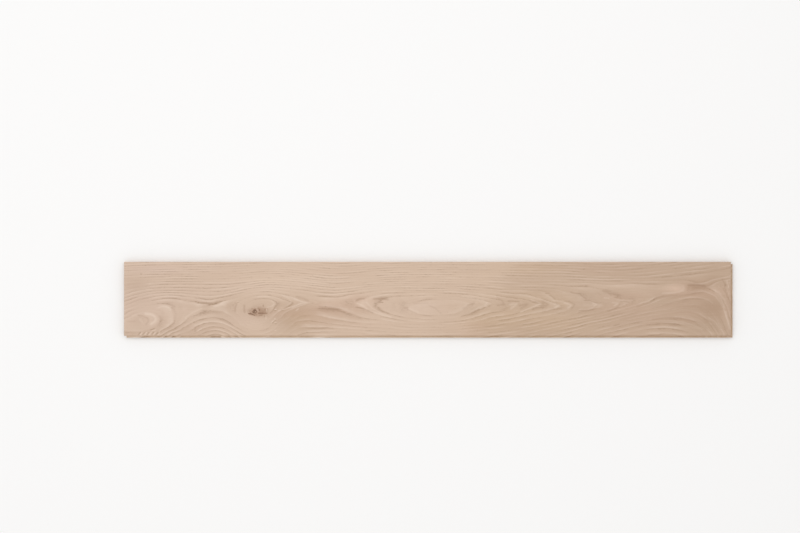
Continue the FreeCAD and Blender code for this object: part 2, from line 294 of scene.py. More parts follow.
faceMarks = [
    (0.42, 0.6, [(140.6, 274), (141.8, 274.1)]),
    (0.5, 0.6, [(195.4, 301.4), (196.4, 301.8)]),
    (0.44, 0.6, [(197.6, 302.9), (198.8, 303.2)]),
    (0.34, 0.6, [(194.6, 331.2), (196.6, 330.6)]),
    (-0.32, 0.7, [(197, 331), (201.4, 328.8)]),
    (0.44, 0.6, [(150.4, 330), (154.4, 328.6)]),
    (-0.38, 0.6, [(151.6, 331), (156, 329.8)]),
    (0.5, 0.6, [(325, 306.5), (326.2, 306.6)]),
    (0.4, 0.6, [(583.6, 268.9), (584.6, 269)]),
    (0.34, 0.6, [(194.2, 329), (195.2, 329.2)]),
    (0.36, 0.6, [(725.4, 283.6), (726.6, 286.4)]),
    (0.36, 0.6, [(725, 308.4), (725.4, 310.6)]),
    (-0.34, 0.6, [(184.6, 317.6), (186.4, 318.8)]),
    (-0.34, 0.6, [(149.2, 284.1), (150.6, 284)]),
    (-0.2, 0.6, [(579, 309.1), (588, 309.2), (594, 307.2)]),
    (0.34, 0.6, [(579, 310.8), (588, 310.8), (594, 309.2)]),
    # left heart: pale bands inside its rings
    (-0.32, 1.8, [(145.4, 313.8), (150.6, 314.2), (154.2, 316), (155.8, 318.8), (154.6, 321.6),
                  (151, 324)]),
    (0.14, 2.2, [(159.4, 317.5), (161, 320.5), (158, 325)]),
    (0.22, 1.5, [(138.5, 315.4), (143.7, 316.2), (147.6, 318.2), (148.6, 321.2), (146, 324.4)]),
    (-0.2, 1.6, [(139.6, 319.4), (142.4, 322.4)]),
    (0.16, 1.2, [(127, 321.6), (135, 321.4)]),
    (-0.24, 1, [(157.5, 308), (161, 306.8), (166, 306.8), (169.8, 308), (170.6, 310)]),
    (-0.22, 1, [(186, 317), (194, 311.6), (202, 308.4)]),
    # right of the knot: nested pale arrows
    (-0.2, 0.8, [(258, 297.2), (268, 296.8), (274, 299.4), (277.8, 302.6)]),
    (-0.24, 0.9, [(271.4, 300.4), (274.2, 302.6), (274, 304.6), (271.6, 306.2), (266.3, 307.3)]),
    (0.16, 0.8, [(254, 299), (263.3, 298.4), (270.4, 298.8), (274.6, 301), (276.6, 303.8)]),
    (-0.24, 0.9, [(282, 295), (289, 298.6), (291.6, 302.4), (286, 306.6)]),
    (-0.32, 0.6, [(294.6, 298.8), (300.7, 301.4), (307.2, 302.5), (300.7, 303.5), (296, 305.9),
                  (291.6, 307.4)]),
    (0.22, 1.7, [(297, 296.6), (303, 298.4), (308, 300.6)]),
    (0.24, 0.9, [(292.6, 302.8), (290.4, 305), (286, 307)]),
    # the dark leaf's upper edge, and the left-pointing arrows
    (0.24, 0.8, [(319, 306.6), (331, 307), (341, 309.6)]),
    (0.3, 1.4, [(356.4, 300.6), (359, 299.2), (364, 298.6)]),
    (-0.3, 1, [(357.2, 303.2), (362, 305.2), (367, 308.6)]),
    (0.32, 0.8, [(356, 307.2), (363.6, 308.6), (368.6, 310.8), (373, 313)]),
    (-0.26, 1, [(366, 302), (372, 308), (381, 312.8), (391, 317.2)]),
    (0.26, 1.6, [(374, 298.8), (381, 298.6), (388, 299.6)]),
    (0.4, 0.8, [(379, 302.4), (383, 302.4)]),
    (0.12, 1.4, [(376, 304), (379, 309), (384, 312)]),
    (0.26, 1.5, [(404.6, 308.4), (407.6, 307.6), (407.4, 309.6)]),
    (0.22, 0.8, [(408.4, 309.8), (412.6, 312), (416.4, 313.6)]),
    (0.18, 1.1, [(414, 303.8), (420, 303.4), (428, 303)]),
    (-0.2, 1, [(409.6, 308.6), (413.6, 310.4), (418, 311.6)]),
    (0.2, 1.1, [(430, 306), (436, 308.4), (440.5, 313.4)]),
    # right-pointing arrows, torn out in splinters
    (0.2, 1.8, [(464, 308.6), (468, 305.4), (474, 303)]),
    (-0.22, 0.8, [(462, 296.2), (473.5, 298.2), (483, 300.2), (487.6, 302.8), (483, 305.6), (476, 309)]),
    (0.22, 0.8, [(484, 305.4), (477, 309.8), (469.6, 313.6), (461, 316.4)]),
    (0.24, 1.1, [(497, 297), (502, 300.6), (504.5, 304.4), (497.5, 305.4)]),
    (0.18, 1, [(504.5, 304.4), (507, 307.6), (500, 310.8)]),
    (0.36, 0.7, [(508, 301), (519, 301.4)]),
    (-0.24, 1.5, [(509.5, 304.6), (517, 303.8), (511, 308.6)]),
    (0.24, 1.7, [(519.5, 305.4), (527, 304.4), (521, 308.6)]),
    (-0.26, 0.9, [(531, 299.6), (537, 301.8), (540.6, 303.6), (535, 306.2), (528, 308.8),
                  (520.6, 312.2)]),
    (0.24, 1.6, [(542.4, 301.6), (548, 304.6), (543, 307.6)]),
    (-0.26, 1.3, [(554, 303.4), (559, 305.4), (555, 307.4)]),
    (0.32, 0.7, [(545, 293.4), (549.6, 293.2)]),
    (0.28, 1, [(549.8, 295.2), (552.4, 297), (555, 299)]),
    (-0.26, 0.7, [(552.6, 300.2), (555.2, 301)]),
    (0.28, 0.6, [(564, 301.4), (570, 301.3)]),
    (0.26, 0.7, [(550.4, 309.8), (556, 309.2), (561.6, 308.8)]),
    (-0.24, 1.3, [(564, 302.8), (569, 303.8), (571.4, 305.8), (568, 307.8)]),
    (0.24, 1.2, [(569, 301.4), (574.6, 304.6), (572, 308)]),
    (-0.12, 2.2, [(584, 305), (592, 305.2)]),
    (0.26, 1.1, [(571, 292.4), (576, 293.6), (580, 293.6)]),
    (0.3, 1.2, [(580.4, 294.6), (583, 296.6), (586.4, 299)]),
    (0.34, 0.7, [(584.2, 300.5), (590, 300.6), (595, 302.4), (597.4, 303)]),
    (-0.28, 0.9, [(592.6, 303.4), (596.8, 304.4), (593.6, 306.2)]),
    (0.24, 0.6, [(594, 307.8), (595.6, 307.6)]),
    (0.24, 1.6, [(603, 290.8), (608, 292.4), (611, 295.2)]),
    (0.12, 1.6, [(611, 293.6), (621, 294.4)]),
    (-0.28, 0.7, [(604, 297.8), (609, 298.2)]),
    (0.3, 0.8, [(614, 297.2), (618, 298.2)]),
    (0.3, 0.8, [(620.4, 301.8), (624, 301.4), (629, 302.2)]),
    (0.34, 0.7, [(613.8, 325.8), (619.6, 324)]),
    (-0.26, 0.9, [(612, 302.6), (618, 303.4), (614, 306)]),
    (0.26, 0.9, [(620, 304), (616.5, 308), (608, 311.4)]),
    # right end: the blunt pale tongue, and the pale band and splinters by the end
    (-0.14, 1.2, [(682.6, 285.6), (684, 288), (682.6, 291)]),
    (0.2, 1.7, [(688.2, 285.2), (688.8, 288), (688, 290.6)]),
    (0.32, 1.6, [(688.6, 285.2), (697, 285), (704.4, 285.8)]),
    (-0.2, 1, [(662, 293.2), (672, 292.8), (679, 291.8), (683.4, 289.6)]),
    (-0.18, 0.9, [(638, 304.4), (646, 301.8), (650.4, 299.8), (655, 296.8)]),
    (0.22, 1, [(637, 307.2), (642, 305.2), (649.6, 303.2), (655, 299.4), (662, 296.6), (677, 295.2)]),
    # the boldest of the low arcs
    (0.26, 0.8, [(652, 319.6), (664, 317.9), (674, 317.4), (681, 318.2), (686, 320), (696, 321.6),
                 (702, 324.6), (707, 329)]),
    (-0.16, 1, [(640, 322.6), (655, 321.2), (672, 320.4), (684, 322.4), (694, 325.2), (702, 329.6)]),
    (-0.2, 1.5, [(715, 290.6), (721, 298.6), (725, 308.6), (727.4, 320), (729, 329)]),
    (0.3, 0.9, [(722.4, 279.4), (724.4, 283), (725, 287.6), (727.4, 294.6), (728.8, 300)]),
    # a pale line under the dark band round the right end, and the dark core that it rounds
    (-0.16, 0.9, [(678, 298.8), (690, 297.2), (700, 297.6), (707, 299.8), (712, 302.8)]),
    (0.18, 1.1, [(655, 299.6), (664, 297.6), (676, 295.8), (690, 293.8), (703, 293)]),
    (-0.3, 0.7, [(726.6, 280), (728.6, 288)]),
    (0.24, 1, [(704, 318.6), (711, 322), (716, 328), (719, 333)]),
    (-0.2, 0.9, [(709, 317.6), (716, 322.6), (721, 330)]),
]
dashes = dict(count=5, start=138.4, apart=4.4)  # a row of short slanting ones near the left end
for step in range(dashes["count"]):
    start = dashes["start"] + dashes["apart"] * step
    faceMarks.append((0.46, 0.6, [(start, 334.8), (start + 2, 332.2)]))
    faceMarks.append((-0.46, 0.6, [(start + 1.8, 335), (start + 3.8, 332.4)]))
allMarks = knotMarks + faceMarks

noiseTable = np.random.default_rng(plank["seed"]).random((256, 256))


def easedIn(value, start, end):
    # from 0 to 1 as the value goes from start to end
    part = np.clip((value - start) / (end - start), 0, 1)
    return part * part * (3 - 2 * part)


def mottle(across, up):
    # smooth random values from 0 to 1, one apart at whole numbers
    column, row = np.floor(across).astype(int), np.floor(up).astype(int)
    right, above = easedIn(across - column, 0, 1), easedIn(up - row, 0, 1)
    size = len(noiseTable)
    corners = [noiseTable[(column + a) % size, (row + b) % size] for a in (0, 1) for b in (0, 1)]
    lower = corners[0] + (corners[2] - corners[0]) * right
    upper = corners[1] + (corners[3] - corners[1]) * right
    return lower + (upper - lower) * above


def growthField(lines, stretch, slack):
    # a thin plate spline through all points of the ring lines: it gives a ring number anywhere
    scale, batch = 10, 20000
    spots = np.array([(x / stretch, y) for _, points in lines for x, y in points], float)
    numbers = np.array([ring for ring, points in lines for _ in points], float)
    middle = spots.mean(axis=0)
    spots = (spots - middle) / scale

    def pull(gaps):
        squared = (gaps ** 2).sum(axis=-1)
        return 0.5 * squared * np.log(np.maximum(squared, 1e-12))

    count = len(spots)
    system = np.zeros((count + 3, count + 3))
    system[:count, :count] = pull(spots[:, None] - spots[None]) + slack * np.eye(count)
    system[:count, count] = system[count, :count] = 1
    system[:count, count + 1:] = spots
    system[count + 1:, :count] = spots.T
    weights = np.linalg.solve(system, np.append(numbers, [0, 0, 0]))

    def at(column, row):
        places = (np.stack([column / stretch, row], axis=-1) - middle) / scale
        found = np.empty(len(places))
        for first in range(0, len(places), batch):
            some = places[first:first + batch]
            found[first:first + batch] = (
                pull(some[:, None] - spots[None]) @ weights[:count] + weights[count]
                + some @ weights[count + 1:]
            )
        return found

    return at


def softSpots(zones, column, row):
    # the sum of all zones, each strongest at its centre
    total = np.zeros(len(column))
    for amount, x, y, halfLong, halfHigh in zones:
        total += amount * np.exp(-((column - x) / halfLong) ** 2 - ((row - y) / halfHigh) ** 2)
    return total


def strokes(marks, column, row):
    # each mark is a soft stroke along its points; the strongest dark and light ones show
    falloff = 1.2
    dark, light = np.zeros(len(column)), np.zeros(len(column))
    for amount, halfWidth, points in marks:
        gap = np.full(len(column), np.inf)
        for (x0, y0), (x1, y1) in zip(points, points[1:]):
            wide, high = x1 - x0, y1 - y0
            along = ((column - x0) * wide + (row - y0) * high) / (wide ** 2 + high ** 2)
            along = np.clip(along, 0, 1)
            gap = np.minimum(gap, np.hypot(column - x0 - along * wide, row - y0 - along * high))
        cover = abs(amount) * np.exp(-(gap / halfWidth) ** 2 * falloff)
        if amount > 0:
            dark = np.maximum(dark, cover)
        else:
            light = np.maximum(light, cover)
    return dark - light


# The board's true size comes from the CAD node.
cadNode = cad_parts["floorboard"]
cadPoints = np.array([vertex.co[:] for vertex in cadNode.data.vertices]) / mm
top = cadPoints[:, 2].max()
flat = cadPoints[cadPoints[:, 2] > top - 0.01]
upperEdge = cadPoints[cadPoints[:, 2] > top - plank["edgeHeight"]]
faceLow, faceHigh = upperEdge[:, :2].min(axis=0), upperEdge[:, :2].max(axis=0)
faceMiddle = (faceLow + faceHigh) / 2
faceLength, faceWidth = faceHigh - faceLow
bevel = (flat[:, 0].min() - faceLow[0]).round(3)
mmPerPixel = faceLength / (photo["right"] - photo["left"])
middleColumn = (photo["left"] + photo["right"]) / 2
middleRow = (photo["top"] + photo["bottom"]) / 2
print(f"floorboard: face {faceLength:.0f} x {faceWidth:.0f} mm, bevel {bevel:.1f} mm, "
      f"{mmPerPixel:.3f} mm to a pixel")


def inPhoto(x, y):
    return middleColumn + (x - faceMiddle[0]) / mmPerPixel, middleRow - (y - faceMiddle[1]) / mmPerPixel


def onBoard(column, row):
    x = faceMiddle[0] + (column - middleColumn) * mmPerPixel
    return x, faceMiddle[1] - (row - middleRow) * mmPerPixel


ringNumber = growthField(growthRings, rings["stretch"], rings["slack"])
markPlaces = [onBoard(*point)[0] for _, _, points in allMarks for point in points]
knotX, knotY = onBoard(*knot["centre"])
knotStart, knotEnd = (onBoard(column, 0)[0] for column in knot["columns"])
knotFoot, knotTop = (onBoard(0, row)[1] for row in knot["rows"])


def placesAlong(start, end, cellAt):
    # places from start to end, cellAt(place) apart, stretched a little to end exactly; a last cell
    # that would be under 0.6 of the others is left out
    way = 1 if end > start else -1
    places = [start]
    while (end - places[-1]) * way > 0.6 * cellAt(places[-1]):
        places.append(places[-1] + way * cellAt(places[-1]))
    stretch = (end - start) / (places[-1] - start)
    return [round(start + (place - start) * stretch, 1) for place in places]


def cellLength(x):
    if knotStart < x < knotEnd:
        return plank["knotCell"][0]
    nearest = min(abs(x - place) for place in markPlaces)
    return plank["fineCell"] if nearest < plank["cell"][0] else plank["cell"][0]


def cellHeight(y):
    return plank["knotCell"][1] if knotFoot < y < knotTop else plank["cell"][1]


def thinned(places, least):
    # some of the places, at least that far apart, from the middle outwards
    middle = min(range(len(places)), key=lambda index: abs(places[index]))
    kept = [places[middle]]
    for way in (places[middle + 1:], places[:middle][::-1]):
        last = places[middle]
        for place in way:
            if abs(place - last) >= least:
                kept.append(place)
                last = place
    return sorted(kept)


inset = plank["rounding"][0][0] * bevel
columns = (placesAlong(0, faceLow[0] + inset, cellLength)[:0:-1]
           + placesAlong(0, faceHigh[0] - inset, cellLength))
rows = placesAlong(faceLow[1] + inset, faceHigh[1] - inset, cellHeight)
coarseColumns = thinned(columns[1:-1], plank["edgeCell"][0])
coarseRows = thinned(rows[1:-1], plank["edgeCell"][1])

wear = dict(
    poreDepth=0.09,  # open pores of the early wood
    poreSize=(21, 1.3),  # along and across the fibres
    brushDepth=0.035,  # soft wood brushed out between the fibres
    brushSize=(70, 2.4),
    crackDepth=0.5,  # checks in the knot
    crackSize=(5, 1.6),
    margin=3,  # it all fades out this near the bevel
)


def sunken(x, y, ring, mark):
    # how far the worn face lies below the top
    def patches(size, shift=0):
        return mottle(x / size[0] + shift, y / size[1])

    early = 1 - easedIn(ring - np.floor(ring), 0.05, 0.4)
    pores = early * easedIn(patches(wear["poreSize"]), 0.4, 0.75) * wear["poreDepth"]
    soft = patches(wear["brushSize"], 40) * wear["brushDepth"]
    cracks = easedIn(mark, 0.3, 0.95) * (0.4 + 0.6 * patches(wear["crackSize"])) * wear["crackDepth"]
    fromEdge = np.minimum.reduce([x - faceLow[0], faceHigh[0] - x, y - faceLow[1], faceHigh[1] - y])
    return (pores + soft + cracks) * easedIn(fromEdge, inset, inset + wear["margin"])


def cutSides():
    # the CAD solid without its top, cut into cells, and the points round its open edge by their place
    shape = bmesh.new()
    shape.from_mesh(cadNode.data)
    bmesh.ops.scale(shape, vec=Vector((1, 1, 1)) / mm, verts=shape.verts)
    bmesh.ops.remove_doubles(shape, verts=shape.verts, dist=0.001)
    bmesh.ops.dissolve_limit(shape, angle_limit=math.radians(0.5), verts=shape.verts, edges=shape.edges)
    cuts = [((0, 0, top - plank["crown"] * bevel), (0, 0, 1), True)]
    cuts += [((x, 0, 0), (1, 0, 0), False) for x in coarseColumns]
    cuts += [((0, y, 0), (0, 1, 0), False) for y in coarseRows]
    for place, normal, clear in cuts:
        everything = [*shape.verts, *shape.edges, *shape.faces]
        bmesh.ops.bisect_plane(shape, geom=everything, dist=1e-5, plane_co=place, plane_no=normal,
                               clear_outer=clear)
    seam = {}
    for edge in shape.edges:
        if edge.is_boundary:
            for vertex in edge.verts:
                seam[(round(vertex.co.x, 2), round(vertex.co.y, 2))] = vertex
    print(f"sides and underside: {len(shape.faces)} faces, {len(seam)} points on the seam")
    return shape, seam


def layFace(shape):
    # the flat of the face, in rows and columns; its rim comes back
    x, y = (places.ravel() for places in np.meshgrid(columns, rows))
    column, row = inPhoto(x, y)
    mark = strokes(allMarks, column, row)
    z = top - sunken(x, y, ringNumber(column, row), mark)
    grid = [shape.verts.new(place) for place in zip(x, y, z)]
    wide, high = len(columns), len(rows)
    for j in range(high - 1):
        for i in range(wide - 1):
            corner = j * wide + i
            above = corner + wide
            shape.faces.new((grid[corner], grid[corner + 1], grid[above + 1], grid[above]))
    near, far, left, right = grid[:wide], grid[-wide:], grid[::wide], grid[wide - 1::wide]
    return near[:-1] + right[:-1] + far[:0:-1] + left[:0:-1]


def crownRim(inward):
    # the outline of the face, that far in, with a point for each column and row
    x0, x1 = faceLow[0] + inward, faceHigh[0] - inward
    y0, y1 = faceLow[1] + inward, faceHigh[1] - inward
    across = [x0, *columns[1:-1], x1]
    up = [y0, *rows[1:-1], y1]
    return ([(x, y0) for x in across[:-1]] + [(x1, y) for y in up[:-1]]
            + [(x, y1) for x in across[:0:-1]] + [(x0, y) for y in up[:0:-1]])


def roundBevel(shape, rim):
    # the worn bevel, rim by rim, from the flat outwards
    for inward, down in plank["rounding"][1:]:
        following = [shape.verts.new((x, y, top - down * bevel)) for x, y in crownRim(inward * bevel)]
        for index, vertex in enumerate(rim):
            shape.faces.new((vertex, rim[index - 1], following[index - 1], following[index]))
        rim = following
    return rim


def meetSeam(shape, rim, seam):
    # the last strip, down to the coarser seam; the number of seam points that it meets comes back
    outline = [seam.get((round(x, 2), round(y, 2))) for x, y in crownRim(0)]
    met = [index for index, vertex in enumerate(outline) if vertex is not None]
    for first, last in zip(met, met[1:] + [met[0] + len(outline)]):
        fine = [rim[index % len(rim)] for index in range(first, last + 1)]
        shape.faces.new([outline[first], outline[last % len(outline)], *reversed(fine)])
    return len(met)


def buildPlank():
    # the CAD solid with a finely meshed crown in place of its top
    shape, seam = cutSides()
    rim = roundBevel(shape, layFace(shape))
    met = meetSeam(shape, rim, seam)
    bmesh.ops.recalc_face_normals(shape, faces=shape.faces)
    openEdges = sum(not edge.is_manifold for edge in shape.edges)
    print(f"crown: {len(columns)} x {len(rows)} points, {met} of {len(seam)} seam points met, "
          f"open edges {openEdges}")
    bmesh.ops.scale(shape, vec=Vector((mm, mm, mm)), verts=shape.verts)
    mesh = bpy.data.meshes.new(plank["name"])
    shape.to_mesh(mesh)
    shape.free()
    piece = bpy.data.objects.new(plank["name"], mesh)
    bpy.context.collection.objects.link(piece)
    return piece


def ringUnder(x, y, depth):
    # ring numbers under the face: the rings are cylinders round a pith that lies below the board
    heart = rings["heartDepth"]
    onFace = heart + rings["spacing"] * ringNumber(*inPhoto(x, y))
    squared = onFace ** 2 - 2 * heart * depth + depth ** 2
    return (np.sqrt(np.maximum(squared, 1)) - heart) / rings["spacing"]


fibres = dict(
    bend=1.6,  # from side to side, mm
    bendSize=(260, 60),  # length and width of a bend
)


def fibreLine(x, y):
    # fibres run along the board and part round the knot; this counts mm across them
    long, wide = knot["parting"]
    near = np.exp(-((x - knotX) / long) ** 2 - ((y - knotY) / wide) ** 2)
    long, wide = fibres["bendSize"]
    bend = fibres["bend"] * (mottle(x / long + 3, y / wide + 9) - 0.5)
    return y - knot["push"] * (y - knotY) * near + bend


# What changes slowly over the board: an amount, and the columns or rows between which it comes in.
trends = dict(
    brownHalf=(0.4, 476, 508),  # the brown wood to the right
    redHalf=(0.5, 470, 510),  # and its redder tone
    # browner and darker towards the right end
    darkerToRight=(0.34, 500, 730),
    middleStart=(-0.06, 220, 300),  # the middle is a little paler,
    middleEnd=(1, 480, 420),  # up to here
    faintTop=(-0.15, 286, 274),  # upper rings are fainter,
    smoothTop=(-0.13, 292, 284),  # and smoother
    faintRight=(-0.38, 470, 560),
)
everywhere = dict(
    brown=0.083,  # from 0, the pale wood's colour, to 2, the brown wood's
    slant=(0.62, 300),  # the brown wood starts along a slanting line: columns a row, from this row
    torn=0.25,
    faintest=0.08,  # ring lines never get fainter
    markFade=(3, 1),  # marks fade out down the bevel, between these depths
)


def comesIn(name, place):
    amount, start, end = trends[name]
    return amount * easedIn(place, start, end)


def readAll(items, name, each=1, kind=np.float32):
    # one value of every item as an array, or a row of values
    values = np.empty(len(items) * each, kind)
    items.foreach_get(name, values)
    return values.reshape(-1, each) if each > 1 else values


def paintGrain(mesh):
    # what the materials read at each point: ring number, fibre, tones and marks
    x, y, z = (readAll(mesh.vertices, "co", 3) / mm).astype(float).T
    column, row = inPhoto(x, y)
    slant, turn = everywhere["slant"]
    slanting = column + slant * (row - turn)
    brown = everywhere["brown"] + comesIn("brownHalf", slanting) + comesIn("darkerToRight", column)
    brown = brown + comesIn("middleStart", column) * comesIn("middleEnd", column)
    bold = 1 + comesIn("faintTop", row) + softSpots(boldZones, column, row)
    bold = np.maximum(bold, everywhere["faintest"])
    deep, shallow = everywhere["markFade"]
    values = dict(
        ring=ringUnder(x, y, top - z),
        fibre=fibreLine(x, y),
        brown=brown + softSpots(toneZones, column, row),
        redness=comesIn("redHalf", slanting) + softSpots(hueZones, column, row),
        cool=softSpots(coolZones, column, row),
        bold=bold * (1 + comesIn("faintRight", column)),
        torn=everywhere["torn"] + comesIn("smoothTop", row) + softSpots(tornZones, column, row),
        mark=strokes(allMarks, column, row) * easedIn(z, top - deep, top - shallow),
    )
    for name, value in values.items():
        attribute = mesh.attributes.new(name, "FLOAT", "POINT")
        attribute.data.foreach_set("value", value.astype(np.float32))


def groupFaces(mesh):
    # what each face of the mesh is, by where it lies and which way it faces
    normals = readAll(mesh.polygons, "normal", 3)
    centres = readAll(mesh.polygons, "center", 3) / mm
    mostly = 0.7
    groups = SimpleNamespace(crown=centres[:, 2] > top - plank["crown"] * bevel)
    groups.under = (normals[:, 2] < -mostly) & (centres[:, 2] < 1)
    groups.endOn = ~groups.crown & (abs(normals[:, 0]) > mostly)
    groups.level = ~(groups.crown | groups.under | groups.endOn) & (abs(normals[:, 2]) > mostly)
    groups.sideOn = ~(groups.crown | groups.under | groups.endOn | groups.level)
    groups.half = (centres[:, 0] > 0).astype(int)
    groups.farSide = (centres[:, 1] > 0).astype(int)
    groups.upward = (normals[:, 2] > 0).astype(int)
    groups.atEnd = (centres[:, 0] > faceHigh[0]) | (centres[:, 0] < faceLow[0] + plank["jointDepth"])
    return groups


def sortFaces(mesh, groups, materials):
    # gives each face its finish
    for material in materials.values():
        mesh.materials.append(material)
    order = list(materials)
    finish = np.full(len(mesh.polygons), order.index("milled"))
    for name, chosen in (("face", groups.crown), ("back", groups.under), ("end", groups.endOn)):
        finish[chosen] = order.index(name)
    mesh.polygons.foreach_set("material_index", finish.astype(np.int32))
    print(f"{len(finish)} faces, by finish: {dict(zip(order, np.bincount(finish).tolist()))}")


# Heights of the shelves in the OFBake map, and the width of a short face's room.
bakeMap = dict(gap=0.003, crown=0.322, under=0.05, upright=0.019, level=0.008, shortRoom=0.25)


def layBakeMap(mesh, groups):
    # a shelf: its height, what runs along and up it (0 = x, 1 = y, 2 = z), and the faces in its rooms
    shelves = []
    for part in (0, 1):
        half = groups.half == part
        shelves.append(("crown", 0, 1, [groups.crown & half]))
        shelves.append(("under", 0, 1, [groups.under & half]))
        for side in (0, 1):
            here = half & (groups.farSide == side)
            shelves.append(("upright", 0, 2, [groups.sideOn & here]))
            for facing in (0, 1):
                level = groups.level & ~groups.atEnd & (groups.upward == facing)
                shelves.append(("level", 0, 1, [level & here]))
    shelves.append(("upright", 1, 2, [groups.endOn & (groups.half == part) for part in (0, 1)]))
    atEnd = groups.level & groups.atEnd
    shelves.append(("level", 1, 0, [atEnd & (groups.half == part) & (groups.upward == facing)
                                    for part in (0, 1) for facing in (0, 1)]))

    cornersOfFace = readAll(mesh.polygons, "loop_total", kind=np.int32)
    faceOfCorner = np.repeat(np.arange(len(cornersOfFace)), cornersOfFace)
    corners = (readAll(mesh.vertices, "co", 3) / mm)[readAll(mesh.loops, "vertex_index", kind=np.int32)]
    spots = np.zeros((len(corners), 2))
    gap = bakeMap["gap"]
    low = gap
    for height, along, up, rooms in shelves:
        if not any(room.any() for room in rooms):
            continue
        width = 1 if len(rooms) == 1 else bakeMap["shortRoom"]
        for index, room in enumerate(rooms):
            inside = room[faceOfCorner]
            if not inside.any():
                continue
            sides = ((0, along, width * index + gap, width - 2 * gap), (1, up, low, bakeMap[height]))
            for axis, source, start, size in sides:
                values = corners[inside, source]
                spots[inside, axis] = start + (values - values.min()) / max(np.ptp(values), 1e-6) * size
        low += bakeMap[height] + gap
    layer = mesh.uv_layers.new(name="OFBake")
    layer.uv.foreach_set("vector", spots.ravel().astype(np.float32))
    print(f"bake map filled to {low:.3f}")


def paint(screen):
    # screen values from 0 to 255 as Blender's linear colour
    linear = [value / 255 / 12.92 if value <= 10 else ((value / 255 + 0.055) / 1.055) ** 2.4
              for value in screen]
    return (*linear, 1)


def addNode(tree, kind, **settings):
    made = tree.nodes.new(kind)
    for name, value in settings.items():
        setattr(made, name, value)
    return made


class Field:
    # a value at each point of a surface; + - * / between fields lay down Math nodes
    def __init__(self, socket):
        self.socket = socket
        self.tree = socket.id_data

    def calc(self, how, *others):
        made = addNode(self.tree, "ShaderNodeMath", operation=how)
        for socket, value in zip(made.inputs, (self, *others)):
            feed(socket, value)
        return Field(made.outputs[0])

    def __add__(self, other):
        return self.calc("ADD", other)

    def __sub__(self, other):
        return self.calc("SUBTRACT", other)

    def __mul__(self, other):
        return self.calc("MULTIPLY", other)

    def __truediv__(self, other):
        return self.calc("DIVIDE", other)


def feed(socket, value):
    if isinstance(value, Field):
        value.tree.links.new(value.socket, socket)
    else:
        socket.default_value = value


def fade(value, start, end, low=0, high=1):
    # eased from low to high as the value goes from start to end
    made = addNode(value.tree, "ShaderNodeMapRange", interpolation_type="SMOOTHSTEP")
    for socket, given in zip(made.inputs, (value, start, end, low, high)):
        feed(socket, given)
    return Field(made.outputs[0])


def tinted(colour, amount, tint):
    # the colour goes over to the tint as the amount goes from 0 to 1; the Mix node takes colours
    # at its sockets 6 and 7 and gives one at 2
    made = addNode(amount.tree, "ShaderNodeMix", data_type="RGBA", clamp_factor=True)
    for index, value in ((0, amount), (6, colour), (7, paint(tint))):
        feed(made.inputs[index], value)
    return Field(made.outputs[2])


def noise(place, sizes, detail=2, rough=0.5):
    # place and sizes: three coordinates in mm, and how long one blotch is along each
    vector = addNode(place[0].tree, "ShaderNodeCombineXYZ")
    for socket, value, size in zip(vector.inputs, place, sizes):
        feed(socket, value / size)
    made = addNode(place[0].tree, "ShaderNodeTexNoise")
    feed(made.inputs["Vector"], Field(vector.outputs[0]))
    for name, value in (("Scale", 1), ("Detail", detail), ("Roughness", rough)):
        made.inputs[name].default_value = value
    return Field(made.outputs["Fac"])


def sway(value, amount):
    # noise as a shift either way
    return (value - 0.5) * amount


def hypot(one, other):
    return (one.calc("POWER", 2) + other.calc("POWER", 2)).calc("SQRT")


oakFinishes = dict(
    # pale and brown: the two ends of the wood's own colour; line: early wood; pore: open pores;
    # jagged: how far ring lines waver, in rings; contrast: of the ring lines; sawn: cutters' marks;
    # bump: in metres
    face=dict(pale=(206, 181, 159.5), brown=(157, 129, 103), line=(152, 121, 95), pore=(134, 104, 80),
              jagged=0.34, contrast=0.4, pores=0.55, rough=0.52, bump=0.00012, sawn=0),
    milled=dict(pale=(203, 177, 151), brown=(161, 131, 101), line=(152, 120, 92), pore=(126, 96, 70),
                jagged=0.3, contrast=0.7, pores=0.7, rough=0.68, bump=0.0001, sawn=0.35),
    back=dict(pale=(204, 178, 151), brown=(162, 132, 101), line=(152, 120, 91), pore=(126, 96, 70),
              jagged=0.34, contrast=0.65, pores=0.65, rough=0.7, bump=0.00014, sawn=1),
    end=dict(pale=(188, 158, 122), brown=(142, 108, 76), line=(112, 80, 54), pore=(82, 56, 37),
             jagged=0.12, contrast=0.8, pores=0.9, rough=0.78, bump=0.00012, sawn=0.2),
)
# Colours laid over the wood's own, as screen values.
tints = dict(
    palest=(236, 214, 196),
    rosy=(214, 150, 132),
    golden=(220, 187, 138),
    greyed=(205, 180.5, 165),
    warmed=(219, 184, 138),
    # pale wood, and the painted highlight just ahead of each ring line
    lateWood=(238, 220, 204),
    ray=(206, 176, 140),
    fleck=(134, 104, 80),
    knot=(158, 122, 98),
    smudge=(152, 120, 96),
    crack=(96, 70, 52),
)
# Noise along the fibres: length and width of a blotch in mm, its detail and its roughness.
blotches = dict(
    torn=(19, 2.2, 3, 0.5),  # the ring lines' torn edges
    waver=(70, 14, 2, 0.5),  # and their slower bends
    fineLook=(80, 9, 2, 0.5),  # where fine lines show between them
    fineShift=(120, 9, 2, 0.5),  # and how these bend
    pores=(7.5, 0.42, 2, 0.55),
    hair=(60, 1.9, 3, 0.6),  # single fibres
    streak=(190, 4.2, 4, 0.6),
    broad=(330, 30, 2, 0.5),
)


def alongFibres(wood, name):
    length, width, detail, rough = blotches[name]
    return noise((wood.x, wood.fibre, wood.z), (length, width, width), detail, rough)


